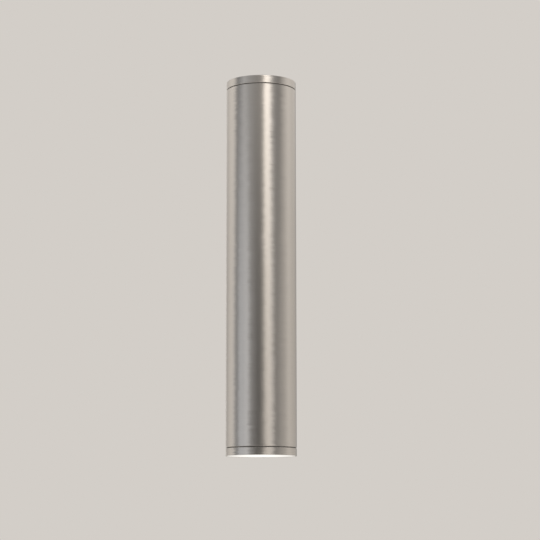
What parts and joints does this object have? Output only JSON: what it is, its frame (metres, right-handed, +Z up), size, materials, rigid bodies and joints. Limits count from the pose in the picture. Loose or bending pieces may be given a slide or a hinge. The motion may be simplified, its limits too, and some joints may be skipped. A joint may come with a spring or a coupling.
{
  "type": "tube wall light",
  "caption": "Upright brushed metal tube wall light that shines up and down, with screw-on end rings round flush glass lenses.",
  "frame": {"origin": "on the wall, in the middle of the wall plate's back", "axes": "+Z up along the tube, +Y into the wall, +X to the right of someone facing the light"},
  "size_m": [0.06, 0.07, 0.322],
  "materials": {
    "brushed_steel": "brushed round the tube, satin",
    "frosted_glass": "frosted, lit",
    "lamp_lens": "clear, lit",
    "lamp_plastic": "moulded, white",
    "nickel_pins": "nickel plated",
    "aluminium": "turned",
    "cast_aluminium": "satin grey paint on a casting",
    "zinc_steel": "zinc plated",
    "dark_steel": "blackened steel",
    "black_rubber": "matte",
    "foam_rubber": "closed cell foam",
    "white_silicone": "soft, matte",
    "white_nylon": "natural nylon",
    "ceramic": "unglazed",
    "brass": "plain",
    "brown_insulation": "silicone sleeve",
    "blue_insulation": "silicone sleeve",
    "green_insulation": "green and yellow sleeve"
  },
  "bodies": {
    "wall_mount": {"wall_plate": "zinc_steel", "wall_plate_bush": "black_rubber"},
    "fitting": {"body_tube": "brushed_steel", "end_collar_top": "aluminium", "end_collar_bottom": "aluminium", "mounting_saddle": "cast_aluminium", "saddle_screws": "zinc_steel", "wall_gasket": "foam_rubber", "tube_bush": "black_rubber", "chassis": "zinc_steel", "chassis_spacers": "aluminium", "chassis_nuts": "zinc_steel", "terminal_block": "white_nylon", "terminal_barrels": "brass", "terminal_screws": "zinc_steel", "block_screws": "zinc_steel", "earth_tag": "brass", "earth_screw": "brass", "wire_live_top": "brown_insulation", "wire_neutral_top": "blue_insulation", "wire_live_bottom": "brown_insulation", "wire_neutral_bottom": "blue_insulation", "wire_earth": "green_insulation", "lampholder_top": "ceramic", "lampholder_bottom": "ceramic", "lampholder_top_contacts": "brass", "lampholder_bottom_contacts": "brass", "holder_screws_top": "zinc_steel", "holder_screws_bottom": "zinc_steel"},
    "locking_left": {"locking_screw_left": "dark_steel"},
    "locking_right": {"locking_screw_right": "dark_steel"},
    "seal_top": {"seam_seal_top": "black_rubber"},
    "ring_top": {"end_ring_top": "brushed_steel", "lens_top": "frosted_glass", "lens_gasket_top": "white_silicone"},
    "lamp_top": {"lamp_top_housing": "lamp_plastic", "lamp_top_lens": "lamp_lens", "lamp_top_pins": "nickel_pins"},
    "seal_bottom": {"seam_seal_bottom": "black_rubber"},
    "ring_bottom": {"end_ring_bottom": "brushed_steel", "lens_bottom": "frosted_glass", "lens_gasket_bottom": "white_silicone"},
    "lamp_bottom": {"lamp_bottom_housing": "lamp_plastic", "lamp_bottom_lens": "lamp_lens", "lamp_bottom_pins": "nickel_pins"}
  },
  "joints": [
    {"name": "fitting_pull_off", "type": "slide", "parent": "wall_mount", "child": "fitting", "axis": [0, -1, 0], "range_m": [0, 0.04]},
    {"name": "locking_left_turn", "type": "hinge", "parent": "fitting", "child": "locking_left", "pos_m": [-0.0195, -0.00575, 0], "axis": [-1, 0, 0], "range_deg": [0, 720]},
    {"name": "locking_right_turn", "type": "hinge", "parent": "fitting", "child": "locking_right", "pos_m": [0.0195, -0.00575, 0], "axis": [1, 0, 0], "range_deg": [0, 720]},
    {"name": "ring_top_advance", "type": "slide", "parent": "fitting", "child": "seal_top", "axis": [0, 0, 1], "range_m": [0, 0.0055]},
    {"name": "ring_top_unscrew", "type": "hinge", "parent": "seal_top", "child": "ring_top", "pos_m": [0, -0.04, 0.1545], "axis": [0, 0, 1], "range_deg": [0, 1296]},
    {"name": "lamp_top_twist", "type": "hinge", "parent": "fitting", "child": "lamp_top", "pos_m": [0, -0.04, 0.0995], "axis": [0, 0, 1], "range_deg": [0, 25]},
    {"name": "ring_bottom_advance", "type": "slide", "parent": "fitting", "child": "seal_bottom", "axis": [0, 0, -1], "range_m": [0, 0.0055]},
    {"name": "ring_bottom_unscrew", "type": "hinge", "parent": "seal_bottom", "child": "ring_bottom", "pos_m": [0, -0.04, -0.1545], "axis": [0, 0, -1], "range_deg": [0, 1296]},
    {"name": "lamp_bottom_twist", "type": "hinge", "parent": "fitting", "child": "lamp_bottom", "pos_m": [0, -0.04, -0.0995], "axis": [0, 0, -1], "range_deg": [0, 25]}
  ],
  "couplings": [
    {"joint": "ring_top_advance", "follows": "ring_top_unscrew", "m_per_rad": 0.00023873},
    {"joint": "ring_bottom_advance", "follows": "ring_bottom_unscrew", "m_per_rad": 0.00023873}
  ]
}
